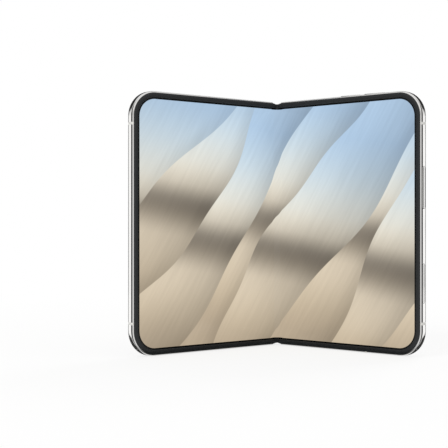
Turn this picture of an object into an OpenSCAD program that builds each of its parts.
// A foldable phone that opens like a book, standing on its lower edge and partly open.
// X runs to the right, Y away from the inner screen, Z up. Two halves turn on a narrow spine.
// A half is drawn lying flat: x is the distance from the fold line, y the depth behind the
// screen's surface and z the height. in_half() then turns it to its place at rest.

/* [Halves] */
// Height of the phone
body_h = 120.6; // [112:0.1:132]
// Width of one half, from the fold line to its free edge
half_w = 83.8; // [78:0.1:92]
// Depth of a half behind the screen's surface
half_d = 4.5; // [4.45:0.05:5.5]
// Radius of the outer corners, seen from the front
corner_r = 12; // [10:0.5:14]
// Radius of the frame's edge beside the screen
front_round = 0.65; // [0.5:0.05:0.8]
// Radius of the frame's edge beside the back
back_round = 1.1; // [0.7:0.1:1.3]
// Angle by which each half is turned up from lying flat, at rest
rest_turn = 39; // [25:1:60]

/* [Frame] */
// Thickness of the side walls
frame_wall = 1.6; // [1.5:0.1:2]
// Thickness of the plate that carries the screen and the inner parts
mid_t = 0.6; // [0.5:0.05:0.7]
// Thickness of the back glass and of the cover glass
glass_t = 0.6; // [0.5:0.05:0.7]
// Gap around the back glass
glass_gap = 0.05; // [0.03:0.01:0.1]
// Width of an antenna band
band_w = 1.2; // [0.8:0.1:2]
// Distance of the side antenna bands from the phone's lower and upper ends
band_inset = 15.3; // [14.5:0.1:18]
// Distance of the lower antenna band from the free edge
lower_band_inset = 30; // [28.5:0.1:31]

/* [Inner screen] */
// Width of the raised black border
bezel_w = 3; // [2.5:0.1:3.5]
// Height of the border above the screen's surface
bezel_raise = 0.3; // [0.2:0.05:0.4]
// Thickness of the flexible panel
panel_t = 0.5; // [0.4:0.05:0.55]
// Thickness of the metal sheet behind the panel
backing_t = 0.2; // [0.1:0.05:0.25]
// Width on each side of the fold line that bends
fold_half_w = 4; // [3.6:0.1:5]

/* [Hinge] */
// Depth of the two hinge axes behind the screen's surface
axis_depth = 1.3; // [1.25:0.05:1.4]
// Gap between the two borders when the phone is shut
shut_gap = 0.1; // [0.06:0.02:0.2]
// Running gap between the spine and the halves
run_gap = 0.1; // [0.06:0.02:0.16]
// Thickness of the lip of a half that laps behind the spine
lip_t = 0.7; // [0.6:0.05:0.8]
// Half of the gap between the two lips when the phone lies flat
lip_gap = 0.3; // [0.1:0.05:0.5]
// Wall of the spine cover
spine_wall = 0.4; // [0.3:0.05:0.5]
// Distance of the spine's ends from the phone's ends
spine_inset = 0.9; // [0.8:0.05:1.1]
// Radius of the frame's corners at the fold line, seen from the front
fold_corner_r = 4.65; // [4:0.05:6]
// Radius of a hinge arm's barrel
barrel_r = 0.75; // [0.68:0.01:0.8]
// Radius of a hinge pin
pin_r = 0.35; // [0.25:0.01:0.4]
// Radial clearance of the pins and shafts in their bores
pin_clear = 0.05; // [0.02:0.01:0.08]
// Length of a hinge arm's barrel beyond the gear
barrel_len = 11.2; // [9:0.1:14]
// Reach of a hinge arm into its half, from the axis
arm_reach = 14.1; // [12:0.1:18]
// Width of a hinge arm along the fold
arm_w = 9; // [7:0.1:9.4]
// Thickness of a hinge arm
arm_t = 0.68; // [0.5:0.02:0.7]
// Number of teeth on each timing gear
gear_teeth = 10; // [8:1:12]
// Pitch radius of the timing gears
gear_r = 0.69; // [0.67:0.01:0.7]
// Length of the timing gears
gear_len = 1; // [0.8:0.1:1.1]
// Radius of the idler gears' shafts
idler_shaft_r = 0.18; // [0.12:0.01:0.2]

/* [Cameras] */
// Distance of the camera plateau's centre line from the top
plateau_drop = 15.5; // [14:0.1:17]
// Width of the plateau, from edge to edge across its end arcs
plateau_w = 22; // [20.5:0.1:24]
// Height of the plateau above the back glass
plateau_h = 1.6; // [1:0.1:2]
// Width of the plateau's soft edge
plateau_soft = 2.4; // [1.6:0.1:3]
// Gap between the plateau's ends and the half's edges
plateau_margin = 5.2; // [4.6:0.1:6]
// Distance of the main camera from the free edge
main_inset = 16; // [15.5:0.1:17]
// Distance between the two cameras
camera_pitch = 18.5; // [17.6:0.1:20]
// Outer radius of a camera ring
ring_r = 8.5; // [8:0.1:8.7]
// Height of a camera ring above the plateau
ring_h = 2; // [1.5:0.1:2.5]
// Radius of a camera's cover glass
lens_r = 7.3; // [7:0.05:7.4]
// Radius of the flash
flash_r = 3; // [2:0.1:3.4]
// Distance of the flash from the free edge
flash_inset = 53.2; // [52:0.1:56]
// Distance of the flash from the top
flash_drop = 20.1; // [19.5:0.1:21]
// Distance of the rear microphone from the free edge
mic_inset = 52; // [49.5:0.1:55]
// Distance of the rear microphone from the top
mic_drop = 10.8; // [10:0.1:12]
// Radius of the rear microphone's hole
mic_r = 0.45; // [0.3:0.05:0.6]

/* [Buttons] */
// Width of the buttons across the frame
button_w = 1.9; // [1.5:0.1:2.1]
// Depth of the buttons' line behind the screen's surface
button_depth = 2; // [1.8:0.1:2.2]
// How far the buttons stand out of the frame
button_raise = 0.3; // [0.1:0.05:0.5]
// Gap around a button
button_gap = 0.08; // [0.05:0.01:0.15]
// Travel of the side and volume buttons
button_travel = 0.25; // [0.15:0.01:0.28]
// Travel of the camera control
control_travel = 0.15; // [0.1:0.01:0.2]
// Radius of the stems behind the buttons
stem_r = 0.5; // [0.35:0.05:0.6]
// Height of the side button's middle
side_button_z = 76.5; // [72:0.1:82]
// Length of the side button
side_button_len = 19.2; // [15:0.1:22]
// Height of the camera control's middle
control_z = 33.4; // [30:0.1:38]
// Length of the camera control
control_len = 17.9; // [14:0.1:20]
// Distance of the volume-up button's middle from the free edge
volume_up_inset = 26.5; // [25:0.1:27.5]
// Distance of the volume-down button's middle from the free edge
volume_down_inset = 40; // [39:0.1:42]
// Length of a volume button
volume_len = 11; // [9:0.1:11.4]

/* [Port and sound] */
// Width of the charging port's opening
port_w = 8.34; // [8.3:0.01:8.4]
// Height of the charging port's opening
port_h = 2.56; // [2.5:0.01:2.6]
// Depth of the charging port inside the frame
port_len = 6.9; // [6.5:0.1:8]
// Radius of a speaker hole
speaker_hole_r = 0.6; // [0.4:0.05:0.8]
// Distance between speaker holes
speaker_pitch = 2.3; // [1.9:0.1:3]
// Number of lower speaker holes
speaker_holes = 5; // [3:1:6]
// Distance between the charging port and each screw beside it
screw_offset = 7.4; // [6.6:0.1:8]

/* [Inside] */
// Thickness of the batteries
battery_t = 1.8; // [1.2:0.1:1.9]
// Distance of the batteries from the phone's lower end
battery_inset = 18.5; // [17.5:0.1:21]
// Thickness of the circuit boards
board_t = 0.6; // [0.4:0.1:0.8]
// Height of the logic board
board_h = 21; // [14:0.5:24]
// Distance of the logic board from the top
board_drop = 28.6; // [28:0.1:30]
// Height of the left half's circuit board
left_board_h = 16; // [10:0.5:20]
// Distance of the left half's circuit board from the top
left_board_drop = 13.6; // [13.4:0.1:16]
// Gap between a battery and the board above it
battery_gap = 1.5; // [0.6:0.1:4]
// Height of the shields on the logic board
shield_t = 1.2; // [0.8:0.1:1.3]
// Length of a closing magnet
magnet_len = 13; // [8:0.5:14]
// Thickness of the closing magnets
magnet_t = 1.6; // [1:0.1:1.8]
// Radius of the charging coil
coil_r = 19; // [14:0.5:19.5]
// Thickness of the charging coil and of its magnets
coil_t = 0.3; // [0.2:0.05:0.35]
// Thickness of the cover screen's panel
cover_panel_t = 0.6; // [0.4:0.05:0.65]
// Distance of the cover camera from the top
cover_camera_drop = 8.2; // [7.5:0.1:9]
// Radius of the cover camera
cover_camera_r = 2; // [1.4:0.1:2.4]

/* [Hidden] */
$fn = 64;
arc_steps = 6;
past = 1;      // how far a cut runs past a surface
seam = 0.02;   // gap between fixed pieces that are set beside each other

// Hinge: the axes lie at x = +-axis_x, on the plane y = 0 of the spine
axis_x = axis_depth + bezel_raise + shut_gap / 2;
knuckle_r = axis_depth + bezel_raise;
spine_r = half_d - axis_depth - lip_t - run_gap;
channel_r = spine_r + run_gap;
spine_in_r = spine_r - spine_wall;
housing_r = axis_depth - 0.1;
border_gap = 0.03;
gutter_y = 0.26 * spine_r;
bar_y = 0.2 * channel_r;
bar_x = axis_x + channel_r + 1.1;
wall_x = axis_x + housing_r + 0.2;
lip_x = lip_gap;
glass_x = axis_x + 2.1;
fold_corner_x = axis_x + 1.55;
end_wall_t = 0.6;
housing_z = spine_inset + end_wall_t;
gear_z = housing_z + 0.25;
cap_z = gear_z + gear_len + 0.1;
barrel_z = gear_z + gear_len;
screen_edge = front_round + bezel_w;
idler_x = gear_r;
idler_y = sqrt(4 * gear_r * gear_r - (axis_x - idler_x) * (axis_x - idler_x));
gear_tip = 0.09;
gear_root = 0.13;
arm_front = axis_depth - 0.43;
arm_z = screen_edge + 0.35;
pocket_gap = 0.05;
spring_z = barrel_z + barrel_len + 0.05;
spring_t = 0.1;
ear_z = spring_z + 0.35;
ear_t = 0.8;
shelf_back = arm_front + arm_t + pocket_gap + 1;
screw_x = axis_x + arm_reach - 3;
screw_gap = 2.7;

// The stand: the middle of the bounding box lies at the origin
front_reach = (half_w - axis_x - front_round) * sin(rest_turn)
    + (knuckle_r - front_round) * cos(rest_turn) + front_round;
back_reach = (axis_x - lip_x) * sin(rest_turn) + (half_d - axis_depth) * cos(rest_turn);
stand_y = (front_reach - back_reach) / 2;

// The bend of the screen at rest: an arc that meets both flat stretches
bend_end = axis_x + (fold_half_w - axis_x) * cos(rest_turn) - axis_depth * sin(rest_turn);
bend_end_y = -(fold_half_w - axis_x) * sin(rest_turn) - axis_depth * cos(rest_turn);
bend_r = bend_end / sin(rest_turn);
bend_y = bend_end_y - bend_r * cos(rest_turn);
bend_trim = 0.15;

// Depths inside a half
glass_seat = half_d - glass_t;
glass_edge = back_round + glass_gap;
bay_front = panel_t + backing_t + mid_t;
coil_d = glass_seat - 0.1 - coil_t;
band_d = back_round + 0.02;

// Cameras, measured on the half that carries them
plateau_z = body_h - plateau_drop;
plateau_d = half_d + plateau_h;
main_x = half_w - main_inset;
wide_x = main_x - camera_pitch;
flash_x = half_w - flash_inset;
flash_z = body_h - flash_drop;
mic_x = half_w - mic_inset;
mic_z = body_h - mic_drop;
ring_clear = 0.05;
ring_shoulder_r = lens_r - 0.85;
ring_shoulder_d = plateau_d + ring_h - 0.8;
module_w = 12.5;

// Inner parts
port_x = half_w / 2;
port_d = (panel_t + backing_t + glass_seat) / 2;
port_shell = 0.25;
battery_x = axis_x + arm_reach + 3.2;
battery_x1 = half_w - frame_wall - 1.7;
board_top = body_h - board_drop;
left_board_top = body_h - left_board_drop;
right_battery_top = board_top - board_h - battery_gap;
left_battery_top = left_board_top - left_board_h - battery_gap;
shield_gap = 3;
coil_x = (battery_x + battery_x1) / 2;
coil_z = (battery_inset + right_battery_top) / 2;
magnet_ring_r0 = coil_r + 1.2;
magnet_ring_r1 = coil_r + 4.2;
lower_bay = frame_wall + 1.4;
speaker_x = port_x + screw_offset + 7.6;
speaker_gap = 2.5;
speaker_drop = 2;
motor_gap = 2.2;
motor_drop = 4.5;
flex_w = 11;
flex_t = 0.2;
flex_depth = axis_depth + 0.35;
cover_camera_x = port_x;
cover_camera_z = body_h - cover_camera_drop;
cover_camera_w = 6;
earpiece_x = cover_camera_x + 10.1;
earpiece_w = 15;
earpiece_z = cover_camera_z - cover_camera_w / 2 - 0.9;

polished = "gainsboro";
glass_white = "whitesmoke";
black = [0.12, 0.12, 0.13];
steel = "silver";
polymer = "lightgray";

// ---- helpers ----

function arc(cx, cy, r, from, to) =
    [for (i = [0:arc_steps]) let (t = from + (to - from) * i / arc_steps)
        [cx + r * cos(t), cy + r * sin(t)]];

// Turn a half that is drawn flat to its place, side 1 for the right, -1 for the left
module in_half(side) {
    translate([0, stand_y, 0]) mirror([side < 0 ? 1 : 0, 0, 0])
        translate([axis_x, 0, 0]) rotate([0, 0, -rest_turn])
        translate([-axis_x, -axis_depth, 0]) children();
}

module in_spine() {
    translate([0, stand_y, 0]) children();
}

// What is drawn at the lower end, and again at the upper end
module both_ends() {
    children();
    translate([0, 0, body_h]) mirror([0, 0, 1]) children();
}

module both_sides() {
    children();
    mirror([1, 0, 0]) children();
}

// A flat outline in x and z, given a thickness in depth
module in_depth(d, t) {
    translate([0, d + t, 0]) rotate([90, 0, 0]) linear_extrude(t) children();
}

// A section in (distance from the edge, depth), carried round the three outer edges of a half
module round_edges(x_from) {
    both_ends() {
        translate([half_w - corner_r, 0, 0]) rotate([0, -90, 0])
            linear_extrude(half_w - corner_r - x_from) children();
        translate([half_w - corner_r, 0, corner_r]) rotate([-90, 0, 0])
            rotate_extrude(angle = 90) translate([corner_r, 0]) mirror([1, 0]) children();
    }
    translate([half_w, 0, corner_r]) mirror([1, 0, 0])
        linear_extrude(body_h - 2 * corner_r) children();
}

// The outline of a sheet that stays inset from the outer edges, with its own inner corners
module sheet_outline(x0, inset, inner_r = 0.5) {
    difference() {
        translate([x0, inset]) square([half_w - inset - x0, body_h - 2 * inset]);
        for (upper = [0, 1]) translate([0, upper * body_h]) mirror([0, upper]) {
            translate([half_w - inset, inset]) corner_nip(corner_r - inset);
            translate([x0, inset]) mirror([1, 0]) corner_nip(inner_r);
        }
    }
}

module corner_nip(r) {
    translate([-r, 0]) difference() {
        translate([0, -past]) square([r + past, r + past]);
        translate([0, r]) circle(r);
    }
}

// A bar with round ends, in the flat
module stadium(len, w) {
    square([len - w, w], center = true);
    for (end = [-1, 1]) translate([end * (len - w) / 2, 0]) circle(w / 2);
}

// A round-ended bar that runs along the free edge and points out of it
module edge_bar(z, len, w, x0, x1, depth = button_depth) {
    translate([x0, depth, z]) rotate([0, 90, 0]) linear_extrude(x1 - x0) stadium(len, w);
}

// The same on the top edge
module top_bar(x, len, w, z0, z1, depth = button_depth) {
    translate([x, depth, z0]) linear_extrude(z1 - z0) stadium(len, w);
}

module rod_x(x0, x1, d, z, r) {
    translate([x0, d, z]) rotate([0, 90, 0]) cylinder(r = r, h = x1 - x0);
}

module rod_y(x, d0, d1, z, r) {
    translate([x, d0, z]) rotate([-90, 0, 0]) cylinder(r = r, h = d1 - d0);
}

module rod_z(x, d, z0, z1, r) {
    translate([x, d, z0]) cylinder(r = r, h = z1 - z0);
}

module box(x0, x1, d0, d1, z0, z1) {
    translate([x0, d0, z0]) cube([x1 - x0, d1 - d0, z1 - z0]);
}

// Rounds a half's corners at the fold line
module fold_corners(r) {
    both_ends() in_depth(-past, half_d + 3 * past) difference() {
        translate([-past, -past]) square([fold_corner_x + past, fold_corner_r + past]);
        translate([fold_corner_x, fold_corner_r]) circle(r);
    }
}

// ---- frame of one half ----

module wall_section() {
    polygon(concat(
        arc(front_round, front_round - bezel_raise, front_round, 180, 270),
        [[front_round, 0], [frame_wall, 0], [frame_wall, glass_seat], [glass_edge, glass_seat],
         [glass_edge, half_d]],
        arc(back_round, half_d - back_round, back_round, 90, 180)));
}

module band_section() {
    polygon(concat(
        arc(front_round, front_round - bezel_raise, front_round, 180, 270),
        [[front_round, 0], [band_d, 0], [band_d, half_d]],
        arc(back_round, half_d - back_round, back_round, 90, 180)));
}

// The bar beside the hinge, with the lip that laps behind the spine
module hinge_bar() {
    tip_r = lip_t * 0.6;
    intersection() {
        linear_extrude(body_h) difference() {
            polygon(concat(
                [[bar_x, bay_front - mid_t / 2], [bar_x, glass_seat], [glass_x, glass_seat],
                 [glass_x, half_d]],
                arc(lip_x + tip_r, half_d - tip_r, tip_r, 90, 180),
                [[lip_x, axis_depth + channel_r], [axis_x, axis_depth + channel_r],
                 [axis_x, bay_front - mid_t / 2]]));
            translate([axis_x, axis_depth]) circle(channel_r);
        }
        translate([bar_x + past, 0, 0]) rotate([0, -90, 0]) linear_extrude(bar_x + 2 * past)
            polygon(concat(
                arc(front_round, front_round - bezel_raise, front_round, 180, 270),
                arc(body_h - front_round, front_round - bezel_raise, front_round, 270, 360),
                arc(body_h - back_round, half_d - back_round, back_round, 0, 90),
                arc(back_round, half_d - back_round, back_round, 90, 180)));
    }
}

// The rounded end of the frame over the spine's end
module knuckles() {
    both_ends() linear_extrude(front_round) {
        translate([axis_x, axis_depth]) circle(knuckle_r);
        translate([axis_x, -bezel_raise])
            square([wall_x - axis_x + 0.2, axis_depth + bar_y + bezel_raise]);
    }
}

module arm_shelves() {
    both_ends() box(bar_x - 0.5, axis_x + arm_reach + 0.8, bay_front - mid_t / 2, shelf_back,
        arm_z - 0.8, arm_z + arm_w + 1);
}

module arm_pockets() {
    both_ends() {
        box(axis_x, axis_x + arm_reach + pocket_gap, panel_t + backing_t - 0.5,
            arm_front + arm_t + pocket_gap, arm_z - pocket_gap, arm_z + arm_w + pocket_gap);
        for (dz = [-screw_gap, screw_gap])
            rod_y(screw_x, arm_front, shelf_back + past, arm_z + arm_w / 2 + dz,
                hinge_screw_r + seam);
    }
}

module band_cuts() {
    both_ends() box(half_w - band_d, half_w + past, -past, half_d + past,
        band_inset - band_w / 2, band_inset + band_w / 2);
}

module half_frame() {
    difference() {
        union() {
            round_edges(wall_x) wall_section();
            in_depth(panel_t + backing_t, mid_t) sheet_outline(fold_half_w, frame_wall - 0.3);
            hinge_bar();
            knuckles();
            arm_shelves();
        }
        // the channel that the spine turns in
        intersection() {
            translate([axis_x, axis_depth, -past]) cylinder(r = channel_r, h = body_h + 2 * past);
            box(-past, half_w, axis_depth + bar_y, half_d, front_round, body_h - front_round);
        }
        fold_corners(fold_corner_r);
        arm_pockets();
        band_cuts();
        // the slot of the ribbon that joins the halves
        box(axis_x, bar_x + past, flex_depth - 0.25, flex_depth + 0.25,
            body_h / 2 - flex_w / 2 - 0.5, body_h / 2 + flex_w / 2 + 0.5);
    }
}

module side_bands() {
    both_ends() translate([half_w, 0, band_inset - band_w / 2]) mirror([1, 0, 0])
        linear_extrude(band_w) band_section();
}

module half_bezel() {
    difference() {
        round_edges(axis_x) translate([front_round + seam, -bezel_raise])
            square([bezel_w - seam, bezel_raise]);
        fold_corners(fold_corner_r - front_round);
    }
}

module half_panel() {
    in_depth(0, panel_t) sheet_outline(fold_half_w, frame_wall + 0.15, screen_edge / 4);
}

module half_backing() {
    in_depth(panel_t, backing_t) sheet_outline(fold_half_w, frame_wall + 0.3, screen_edge / 4);
}

// ---- hinge ----

hinge_screw_r = 0.45;
hinge_screw_head_r = 0.9;
hinge_screw_head_t = 0.3;

// An outline in the spine: discs round both axes, joined behind them
module spine_section(r) {
    translate([-axis_x, 0]) circle(r);
    translate([axis_x, 0]) circle(r);
    translate([-axis_x, 0]) square([2 * axis_x, r]);
}

module behind(y) {
    translate([-half_w / 2, y]) square([half_w, half_d]);
}

// The solid end of the spine: it stays inside the screen borders' swing
module end_section(r) {
    for (side = [-1, 1]) translate([side * axis_x, 0]) circle(housing_r);
    translate([-axis_x, border_gap]) square([2 * axis_x, gutter_y]);
    intersection() {
        spine_section(r);
        behind(gutter_y);
    }
}

module spine_cover() {
    color(polished) in_spine() {
        difference() {
            union() {
                translate([0, 0, spine_inset]) linear_extrude(body_h - 2 * spine_inset)
                    intersection() {
                        spine_section(spine_r);
                        behind(gutter_y);
                    }
                both_ends() translate([0, 0, spine_inset]) linear_extrude(end_wall_t)
                    end_section(spine_r);
            }
            translate([0, 0, housing_z]) linear_extrude(body_h - 2 * housing_z)
                spine_section(spine_in_r);
        }
    }
}

function idler_phase(side) = side > 0 ? 180 : 180 / gear_teeth;
// An arm's gear is turned so that its teeth meet those of its idler
function arm_phase(side) =
    let (to_idler = atan2(idler_y, side * (idler_x - axis_x)))
    to_idler + 180 / gear_teeth - (idler_phase(side) - to_idler - 180);

module gear(phase, len) {
    rotate([0, 0, phase]) linear_extrude(len) polygon([
        for (i = [0:gear_teeth - 1]) let (t = i * 360 / gear_teeth, w = 360 / gear_teeth)
            for (p = [[gear_r - gear_root, -0.29 * w], [gear_r + gear_tip, -0.09 * w],
                      [gear_r + gear_tip, 0.09 * w], [gear_r - gear_root, 0.29 * w]])
                p[0] * [cos(t + p[1]), sin(t + p[1])]]);
}

// A cup at each end of the spine, in which the timing gears run
module gear_housings() {
    chamber_r = gear_r + gear_tip + 0.06;
    color(black) in_spine() both_ends() difference() {
        translate([0, 0, housing_z]) linear_extrude(cap_z - housing_z)
            end_section(spine_in_r - seam);
        translate([0, 0, gear_z - 0.05]) linear_extrude(cap_z) for (side = [-1, 1]) {
            translate([side * axis_x, 0]) circle(chamber_r);
            translate([side * idler_x, idler_y]) circle(chamber_r);
        }
        for (side = [-1, 1]) {
            rod_z(side * axis_x, 0, housing_z - past, cap_z, pin_r - 0.05 + pin_clear);
            rod_z(side * idler_x, idler_y, housing_z - past, cap_z, idler_shaft_r + seam / 2);
        }
    }
}

// The lid of each cup, which shows as the black border across the fold
module hinge_caps() {
    color(black) in_spine() both_ends() difference() {
        translate([0, 0, cap_z]) linear_extrude(screen_edge - cap_z)
            end_section(spine_in_r - seam);
        for (side = [-1, 1]) {
            rod_z(side * axis_x, 0, cap_z - past, screen_edge + past, barrel_r + pin_clear);
            rod_z(side * idler_x, idler_y, cap_z - past, cap_z + 0.5,
                idler_shaft_r + seam / 2);
        }
    }
}

// Rails along the spine, with the ears that hold the hinge pins
module hinge_brackets() {
    color(steel) in_spine() both_ends() both_sides() difference() {
        union() {
            translate([0, 0, screen_edge + seam]) linear_extrude(ear_z + ear_t - screen_edge - seam)
                intersection() {
                    spine_section(spine_in_r - seam);
                    translate([axis_x - barrel_r + 0.05, barrel_r + 0.1])
                        square([half_w, half_d]);
                }
            translate([0, 0, ear_z]) linear_extrude(ear_t) {
                translate([axis_x, 0]) circle(barrel_r - 0.05);
                translate([axis_x - barrel_r + 0.05, 0])
                    square([2 * barrel_r - 0.1, barrel_r + 0.5]);
            }
        }
        rod_z(axis_x, 0, ear_z - past, ear_z + ear_t + past, pin_r + seam / 2);
    }
}

module hinge_pins() {
    color(steel) in_spine() both_ends() both_sides() {
        rod_z(axis_x, 0, barrel_z + 0.6, ear_z + ear_t, pin_r);
        rod_z(idler_x, idler_y, housing_z, cap_z + 0.45, idler_shaft_r);
    }
}

// Sprung washers that press on the barrels and hold the phone at any angle
module hinge_springs() {
    color("slategray") in_spine() both_ends() both_sides()
        for (i = [0:2]) translate([axis_x, 0, spring_z + i * spring_t * 1.1]) difference() {
            cylinder(r = barrel_r - 0.08, h = spring_t);
            translate([0, 0, -past]) cylinder(r = pin_r + seam, h = spring_t + 2 * past);
        }
}

module idler(side) {
    translate([side * idler_x, idler_y, gear_z]) difference() {
        gear(idler_phase(side), gear_len);
        translate([0, 0, -past]) cylinder(r = idler_shaft_r + pin_clear, h = gear_len + 2 * past);
    }
}

module idler_bottom_left() { color("goldenrod") in_spine() idler(-1); }
module idler_bottom_right() { color("goldenrod") in_spine() idler(1); }
module idler_top_left() {
    color("goldenrod") in_spine() translate([0, 0, body_h]) mirror([0, 0, 1]) idler(-1);
}
module idler_top_right() {
    color("goldenrod") in_spine() translate([0, 0, body_h]) mirror([0, 0, 1]) idler(1);
}

// An arm: the gear and its journal, the barrel on the hinge pin and the plate in the half
module hinge_arms(side) {
    color(steel) both_ends() {
        in_spine() translate([side * axis_x, 0, gear_z])
            gear(arm_phase(side), cap_z - gear_z - seam);
        in_half(side) difference() {
            union() {
                rod_z(axis_x, axis_depth, housing_z + seam, gear_z + seam, pin_r - 0.05);
                rod_z(axis_x, axis_depth, barrel_z, barrel_z + barrel_len, barrel_r);
                box(axis_x, axis_x + arm_reach, arm_front, arm_front + arm_t, arm_z,
                    arm_z + arm_w);
            }
            rod_z(axis_x, axis_depth, barrel_z + 0.5, barrel_z + barrel_len + past,
                pin_r + pin_clear);
            for (dz = [-screw_gap, screw_gap]) {
                z = arm_z + arm_w / 2 + dz;
                rod_y(screw_x, arm_front - past, shelf_back, z, hinge_screw_r + seam);
                rod_y(screw_x, arm_front - past, arm_front + hinge_screw_head_t + seam, z,
                    hinge_screw_head_r + seam);
            }
        }
    }
}

module hinge_screws(side) {
    color(steel) in_half(side) both_ends() for (dz = [-screw_gap, screw_gap]) {
        z = arm_z + arm_w / 2 + dz;
        rod_y(screw_x, arm_front + seam, arm_front + hinge_screw_head_t, z, hinge_screw_head_r);
        rod_y(screw_x, arm_front + hinge_screw_head_t, shelf_back - 0.1, z, hinge_screw_r);
    }
}

// The bent stretch of the screen, as it lies at rest
module bend(r0, t, z0) {
    turn = rest_turn - bend_trim;
    in_spine() translate([0, bend_y, z0]) rotate([0, 0, 90 - turn])
        rotate_extrude(angle = 2 * turn) translate([r0, 0]) square([t, body_h - 2 * z0]);
}

module display_fold() { color("tan") bend(bend_r, panel_t, screen_edge + 0.1); }
module fold_backing() {
    color(steel) bend(bend_r + panel_t, 0.75 * backing_t, screen_edge + 0.2);
}

// The ribbon that joins the circuits of the halves, slack inside the spine at rest
module hinge_flex() {
    mouth = channel_r + 0.1;
    x1 = axis_x + mouth * cos(rest_turn) + (flex_depth - axis_depth) * sin(rest_turn);
    y1 = -mouth * sin(rest_turn) + (flex_depth - axis_depth) * cos(rest_turn);
    low = spine_in_r - 0.3;
    run = [for (i = [-12:12]) let (x = i / 12 * x1)
        [x, y1 + (low - y1) * (1 + cos(180 * i / 12)) / 2]];
    tail = [x1 + 1.6 * cos(rest_turn), y1 - 1.6 * sin(rest_turn)];
    line = concat([[-tail[0], tail[1]]], run, [tail]);
    color("darkgoldenrod") in_spine() translate([0, 0, (body_h - flex_w) / 2])
        linear_extrude(flex_w) polygon(concat(
            [for (p = line) [p[0], p[1] - flex_t / 2]],
            [for (i = [len(line) - 1:-1:0]) [line[i][0], line[i][1] + flex_t / 2]]));
}

// ---- left half ----

module left_frame() {
    color(polished) in_half(-1) difference() {
        half_frame();
        for (i = [-2:2]) rod_z(earpiece_x + i * 1.8, button_depth,
            body_h - frame_wall - past, body_h + past, 0.45);
    }
}

module left_antenna_bands() { color(polymer) in_half(-1) side_bands(); }
module left_bezel() { color(black) in_half(-1) half_bezel(); }
module display_left() { color("tan") in_half(-1) half_panel(); }
module left_backing() { color(steel) in_half(-1) half_backing(); }
module left_hinge_arms() { hinge_arms(-1); }
module left_hinge_screws() { hinge_screws(-1); }

module cover_glass() {
    color([0.1, 0.1, 0.12, 0.6]) in_half(-1)
        in_depth(glass_seat, glass_t) sheet_outline(glass_x + glass_gap, glass_edge + glass_gap);
}

module cover_display() {
    color(black) in_half(-1) difference() {
        in_depth(glass_seat - cover_panel_t, cover_panel_t)
            sheet_outline(bar_x + 0.4, frame_wall + 0.5, 2);
        rod_y(cover_camera_x, 0, half_d, cover_camera_z, cover_camera_r + 0.15);
    }
}

module cover_camera() {
    color(black) in_half(-1) {
        rod_y(cover_camera_x, bay_front, glass_seat - 0.05, cover_camera_z, cover_camera_r);
        box(cover_camera_x - cover_camera_w / 2, cover_camera_x + cover_camera_w / 2, bay_front,
            glass_seat - cover_panel_t - 0.2, cover_camera_z - cover_camera_w / 2,
            cover_camera_z + cover_camera_w / 2);
    }
}

module left_battery() {
    color("dimgray") in_half(-1) box(battery_x, battery_x1, bay_front, bay_front + battery_t,
        battery_inset, left_battery_top);
}

module left_board() {
    z0 = left_board_top - left_board_h;
    color("darkgreen") in_half(-1) {
        box(battery_x, battery_x1, bay_front, bay_front + board_t, z0, left_board_top);
        box(battery_x + 2, coil_x, bay_front + board_t, bay_front + board_t + shield_t - 0.2,
            z0 + 2, left_board_top - 2);
    }
}

module earpiece_speaker() {
    color("dimgray") in_half(-1) box(earpiece_x - 0.4 * earpiece_w,
        earpiece_x + 0.6 * earpiece_w, bay_front, glass_seat - cover_panel_t - 0.1, earpiece_z, body_h - frame_wall - 0.4);
}

module magnets(side) {
    mid_z = (side_button_z + control_z) / 2;
    color(steel) in_half(side) for (z = [mid_z - magnet_len - 0.5, mid_z + 0.5])
        box(battery_x1 + 0.3, half_w - frame_wall - 0.1, bay_front, bay_front + magnet_t,
            z, z + magnet_len);
}

module left_magnets() { magnets(-1); }

// ---- right half ----

// The pocket of a button on the free edge, with the bores of its stems
module edge_pocket(z, len, travel, stems) {
    edge_bar(z, len + 2 * button_gap, button_w + 2 * button_gap,
        half_w - button_floor(travel), half_w + past);
    for (dz = stems)
        rod_x(half_w - frame_wall - past, half_w, button_depth, z + dz, stem_r + pin_clear);
}

module top_pocket(x) {
    top_bar(x, volume_len + 2 * button_gap, button_w + 2 * button_gap,
        body_h - button_floor(button_travel), body_h + past);
    rod_z(x, button_depth, body_h - frame_wall - past, body_h, stem_r + pin_clear);
}

button_in = 0.8;       // how deep a button's face plate sits in its pocket
function button_floor(travel) = button_in + travel + 0.05;
stem_len = frame_wall + 0.3;
long_stems = [-5, 5];

// A button on the free edge that stands out by raise
module edge_button(z, len, raise, stems) {
    edge_bar(z, len, button_w, half_w - button_in, half_w + raise);
    for (dz = stems)
        rod_x(half_w - stem_len, half_w - button_in, button_depth, z + dz, stem_r);
}

module top_button(x) {
    top_bar(x, volume_len, button_w, body_h - button_in, body_h + button_raise);
    rod_z(x, button_depth, body_h - stem_len, body_h - button_in, stem_r);
}

bottom_screw_head_r = 0.75;
bottom_screw_head = [0.15, 0.75];
bottom_screw_end = 3.2;

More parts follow.
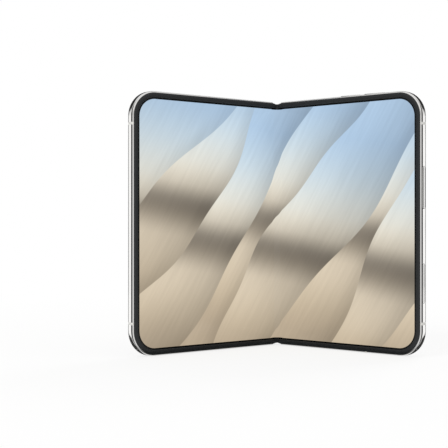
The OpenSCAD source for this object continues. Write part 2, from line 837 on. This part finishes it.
module right_frame() {
    color(polished) in_half(1) difference() {
        union() {
            half_frame();
            for (side = [-1, 1]) box(port_x + side * screw_offset - 1.2,
                port_x + side * screw_offset + 1.2, bay_front - mid_t / 2, port_d + 1.2,
                frame_wall - 0.2, bottom_screw_end + 0.3);
        }
        edge_pocket(side_button_z, side_button_len, button_travel, long_stems);
        edge_pocket(control_z, control_len, control_travel, long_stems);
        top_pocket(half_w - volume_up_inset);
        top_pocket(half_w - volume_down_inset);
        // the port's mouth, and room for its shell
        translate([port_x, port_d, -past]) linear_extrude(port_len + past + 0.1)
            stadium(port_w + 2 * port_shell + 2 * seam, port_h + 2 * port_shell + 2 * seam);
        for (i = [0:speaker_holes - 1])
            rod_z(speaker_x + i * speaker_pitch, port_d, -past, frame_wall + past,
                speaker_hole_r);
        for (side = [-1, 1]) {
            rod_z(port_x + side * screw_offset, port_d, -past, bottom_screw_head[1],
                bottom_screw_head_r + seam);
            rod_z(port_x + side * screw_offset, port_d, 0, bottom_screw_end + past,
                hinge_screw_r + seam);
        }
        box(half_w - lower_band_inset - band_w / 2, half_w - lower_band_inset + band_w / 2,
            -past, half_d + past, -past, band_d);
    }
}

module right_antenna_bands() {
    color(polymer) in_half(1) {
        side_bands();
        translate([half_w - lower_band_inset + band_w / 2, 0, 0]) rotate([0, -90, 0])
            linear_extrude(band_w) band_section();
    }
}

module right_bezel() { color(black) in_half(1) half_bezel(); }
module display_right() { color("tan") in_half(1) half_panel(); }
module right_backing() { color(steel) in_half(1) half_backing(); }
module right_hinge_arms() { hinge_arms(1); }
module right_hinge_screws() { hinge_screws(1); }

// The raised bar round the cameras: flat on top, with an edge that fades into the glass
module plateau() {
    steps = 8;
    half = plateau_w / 2;
    reach = (half_w - 2 * plateau_margin - plateau_w) / 2;
    mid_x = half_w / 2;
    side = concat([[0, 0], [0, plateau_h]],
        [for (i = [0:steps]) [half - plateau_soft * (1 - i / steps),
            plateau_h * pow(1 - i / steps, 2)]]);
    translate([mid_x, half_d, plateau_z]) {
        for (turn = [0, 180]) rotate([0, turn, 0]) {
            translate([reach, 0, 0]) rotate([-90, 0, 0]) rotate([0, 0, -90])
                rotate_extrude(angle = 180) polygon(side);
            translate([-reach, 0, 0]) rotate([90, 0, 90]) linear_extrude(2 * reach)
                polygon([for (p = side) [p[1], p[0]]]);
        }
    }
}

module back_glass() {
    color(glass_white) in_half(1) difference() {
        union() {
            in_depth(glass_seat, glass_t)
                sheet_outline(glass_x + glass_gap, glass_edge + glass_gap);
            plateau();
        }
        for (x = [main_x, wide_x])
            rod_y(x, 0, plateau_d + past, plateau_z, ring_r + ring_clear);
        rod_y(flash_x, 0, plateau_d + past, flash_z, flash_r + ring_clear);
        rod_y(mic_x, 0, plateau_d + past, mic_z, mic_r);
    }
}

// A ring with a shoulder for its glass and a rounded outer edge
module camera_ring(x) {
    edge_r = 0.5;
    top = plateau_d + ring_h;
    color(polished) in_half(1) translate([x, 0, plateau_z]) rotate([-90, 0, 0])
        rotate_extrude() polygon(concat(
            [[ring_shoulder_r, glass_seat + 0.1], [ring_r, glass_seat + 0.1]],
            arc(ring_r - edge_r, top - edge_r, edge_r, 0, 90),
            [[lens_r + seam, top], [lens_r + seam, ring_shoulder_d],
             [ring_shoulder_r, ring_shoulder_d]]));
}

module main_camera_ring() { camera_ring(main_x); }
module wide_camera_ring() { camera_ring(wide_x); }

module lens_glass(x) {
    color([0.05, 0.05, 0.07, 0.7]) in_half(1)
        rod_y(x, ring_shoulder_d + seam, ring_shoulder_d + 0.65, plateau_z, lens_r);
}

module main_lens_glass() { lens_glass(main_x); }
module wide_lens_glass() { lens_glass(wide_x); }

// A camera: its square base, its barrel and the well in front of its lenses
module camera_module(x, well_r) {
    color(black) in_half(1) difference() {
        union() {
            box(x - module_w / 2, x + module_w / 2, bay_front, glass_seat,
                plateau_z - module_w / 2, plateau_z + module_w / 2);
            rod_y(x, glass_seat - seam, ring_shoulder_d - 0.2, plateau_z,
                ring_shoulder_r - 0.15);
        }
        translate([x, ring_shoulder_d - 1.4, plateau_z]) rotate([-90, 0, 0])
            cylinder(r1 = well_r, r2 = well_r + 1.6, h = 1.4);
    }
}

module main_camera() { camera_module(main_x, 3.6); }
module wide_camera() { camera_module(wide_x, 3.1); }

module flash_lens() {
    color("lightyellow") in_half(1) rod_y(flash_x, plateau_d - 0.7, plateau_d, flash_z, flash_r);
}

module flash_led() {
    color("khaki") in_half(1) {
        box(flash_x - flash_r, flash_x + flash_r, bay_front, bay_front + 1.2,
            flash_z - flash_r, flash_z + flash_r);
        rod_y(flash_x, bay_front + 1.2, plateau_d - 0.75, flash_z, flash_r - 0.4);
    }
}

module rear_microphone() {
    color(steel) in_half(1) box(mic_x - 1.5, mic_x + 1.5, bay_front, glass_seat - 0.05,
        mic_z - 1.5, mic_z + 1.5);
}

module side_button() {
    color(polished) in_half(1)
        edge_button(side_button_z, side_button_len, button_raise, long_stems);
}

module volume_up_button() { color(polished) in_half(1) top_button(half_w - volume_up_inset); }
module volume_down_button() { color(polished) in_half(1) top_button(half_w - volume_down_inset); }

module camera_control() {
    color(polished) in_half(1) edge_button(control_z, control_len, 0, long_stems);
}

// A switch behind each stem, with just more room than the button travels
module button_switches() {
    reach = 0.9;
    half = 0.8;
    color(black) in_half(1) {
        for (z = [side_button_z, control_z], dz = long_stems)
            box(half_w - stem_len - button_travel - 0.05 - reach,
                half_w - stem_len - button_travel - 0.05,
                bay_front, button_depth + half, z + dz - half, z + dz + half);
        for (inset = [volume_up_inset, volume_down_inset])
            box(half_w - inset - half, half_w - inset + half, bay_front, button_depth + half,
                body_h - stem_len - button_travel - 0.05 - reach,
                body_h - stem_len - button_travel - 0.05);
    }
}

module right_battery() {
    color("dimgray") in_half(1) box(battery_x, battery_x1, bay_front, bay_front + battery_t,
        battery_inset, right_battery_top);
}

module logic_board() {
    color("darkgreen") in_half(1) box(battery_x, battery_x1, bay_front, bay_front + board_t,
        board_top - board_h, board_top);
}

module board_shields() {
    color(steel) in_half(1)
        for (span = [[battery_x + 2, coil_x - shield_gap / 2],
                     [coil_x + shield_gap / 2, battery_x1 - shield_gap]])
            box(span[0], span[1], bay_front + board_t, bay_front + board_t + shield_t,
                board_top - board_h + 2, board_top - 2);
}

// A tube with round sides, closed behind, and the tongue inside it
module usb_c_port() {
    mouth = 0.25;
    color(steel) in_half(1) translate([port_x, port_d, 0]) {
        difference() {
            translate([0, 0, mouth]) linear_extrude(port_len - mouth)
                stadium(port_w + 2 * port_shell, port_h + 2 * port_shell);
            translate([0, 0, -past]) linear_extrude(port_len - 0.3 + past)
                stadium(port_w, port_h);
        }
        translate([-3.35, -0.35, 1.3]) cube([6.7, 0.7, port_len - 1.4]);
    }
}

module bottom_speaker() {
    color("dimgray") in_half(1) box(speaker_x - speaker_gap, half_w - corner_r + 4, bay_front,
        glass_seat - 0.2, lower_bay, battery_inset - speaker_drop);
}

module haptic_motor() {
    color("slategray") in_half(1) box(battery_x, port_x - screw_offset - motor_gap, bay_front,
        glass_seat - 0.2, lower_bay, battery_inset - motor_drop);
}

// A flat ring of wire behind the glass, on its ferrite sheet
module charging_coil() {
    color("peru") in_half(1) {
        difference() {
            rod_y(coil_x, coil_d, coil_d + coil_t, coil_z, coil_r);
            rod_y(coil_x, coil_d - past, coil_d + coil_t + past, coil_z, coil_r * 0.55);
        }
        rod_y(coil_x, bay_front + battery_t, coil_d, coil_z, coil_r);
    }
}

module charging_magnets() {
    color(steel) in_half(1) translate([coil_x, bay_front + battery_t, coil_z])
        rotate([-90, 0, 0]) for (i = [0:11]) rotate([0, 0, 30 * i + 15])
        rotate_extrude(angle = 27) translate([magnet_ring_r0, 0])
        square([magnet_ring_r1 - magnet_ring_r0, coil_d + coil_t - bay_front - battery_t]);
}

module right_magnets() { magnets(1); }

module bottom_screws() {
    color(steel) in_half(1) for (side = [-1, 1]) {
        rod_z(port_x + side * screw_offset, port_d, bottom_screw_head[0], bottom_screw_head[1],
            bottom_screw_head_r);
        rod_z(port_x + side * screw_offset, port_d, bottom_screw_head[1], bottom_screw_end,
            hinge_screw_r);
    }
}

spine_cover();
gear_housings();
hinge_caps();
hinge_brackets();
hinge_pins();
hinge_springs();
idler_bottom_left();
idler_bottom_right();
idler_top_left();
idler_top_right();
display_fold();
fold_backing();
hinge_flex();
left_frame();
left_antenna_bands();
left_bezel();
display_left();
left_backing();
left_hinge_arms();
left_hinge_screws();
cover_glass();
cover_display();
cover_camera();
left_battery();
left_board();
earpiece_speaker();
left_magnets();
right_frame();
right_antenna_bands();
right_bezel();
display_right();
right_backing();
right_hinge_arms();
right_hinge_screws();
back_glass();
main_camera_ring();
wide_camera_ring();
main_lens_glass();
wide_lens_glass();
main_camera();
wide_camera();
flash_lens();
flash_led();
rear_microphone();
side_button();
volume_up_button();
volume_down_button();
camera_control();
button_switches();
right_battery();
logic_board();
board_shields();
usb_c_port();
bottom_speaker();
haptic_motor();
charging_coil();
charging_magnets();
right_magnets();
bottom_screws();
